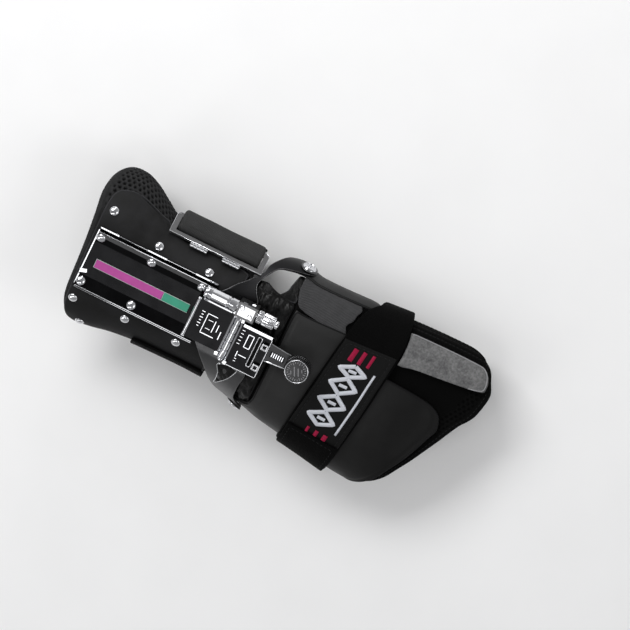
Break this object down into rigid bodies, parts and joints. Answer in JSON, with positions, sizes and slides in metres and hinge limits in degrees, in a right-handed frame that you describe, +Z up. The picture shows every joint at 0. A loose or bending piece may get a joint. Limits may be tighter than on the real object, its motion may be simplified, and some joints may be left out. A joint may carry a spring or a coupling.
{
  "type": "bowling wrist support glove",
  "caption": "Rigid wrist support glove with a metal framed forearm plate, a hinged adjuster with a dial, a padded hand shell and straps.",
  "frame": {"origin": "middle of the glove's box, on the surface that its straps rest on", "axes": "+Y from the elbow end to the fingers, +Z up from the back of the hand, +X to the little finger side"},
  "size_m": [0.1308, 0.284, 0.0764],
  "materials": {
    "spacer_mesh": "knitted spacer mesh, matt",
    "covered_plate": "fine grained cover on a plate",
    "vinyl": "smooth coated vinyl, satin",
    "webbing": "woven strap with loop face, matt",
    "suede": "brushed suede cloth",
    "loop": "woven loop cloth",
    "black_chrome": "black chrome plate, polished",
    "chrome": "polished",
    "steel": "dark nickel, polished",
    "magenta": "printed film",
    "green": "printed film"
  },
  "bodies": {
    "glove": {"forearm_pad": "spacer_mesh", "forearm_shell": "covered_plate", "forearm_strap": "webbing", "wrist_pad": "covered_plate", "hand_pad": "spacer_mesh", "index_wing": "spacer_mesh", "thumb_patch": "loop", "index_panel": "suede", "hand_strap": "webbing", "strap_end": "webbing", "pivot_thumb": "chrome", "pivot_little": "chrome", "yoke": "steel", "thumb_band": "vinyl", "hand_shell": "vinyl", "channel": "black_chrome", "strip_magenta": "magenta", "strip_green": "green", "carriage": "black_chrome", "hinge_barrel": "chrome", "front_plate": "black_chrome", "post_thumb": "chrome", "post_little": "chrome", "lead_screw": "chrome", "screw_block": "chrome", "dial_arm": "black_chrome", "dial_pin": "chrome", "strap_ring": "steel", "ring_knuckle_1": "chrome", "ring_knuckle_2": "chrome", "strap_fold": "webbing", "rivet_flank": "chrome", "rivet_shell_thumb_1": "chrome", "rivet_tray_thumb_1": "chrome", "rivet_shell_little_1": "chrome", "rivet_tray_little_1": "chrome", "rivet_shell_thumb_2": "chrome", "rivet_tray_thumb_2": "chrome", "rivet_shell_little_2": "chrome", "rivet_tray_little_2": "chrome", "rivet_shell_thumb_3": "chrome", "rivet_tray_thumb_3": "chrome", "rivet_shell_little_3": "chrome"},
    "dial": {"dial": "steel"},
    "adjusting_nut": {"adjusting_nut": "chrome"}
  },
  "joints": [
    {"name": "dial_spin", "type": "hinge", "parent": "glove", "child": "dial", "pos_m": [-0.00417, 0.022, 0.07], "axis": [0, 0, 1], "continuous": true},
    {"name": "nut_spin", "type": "hinge", "parent": "glove", "child": "adjusting_nut", "pos_m": [-0.02497, -0.0103, 0.0713], "axis": [0, 1, 0], "continuous": true}
  ]
}
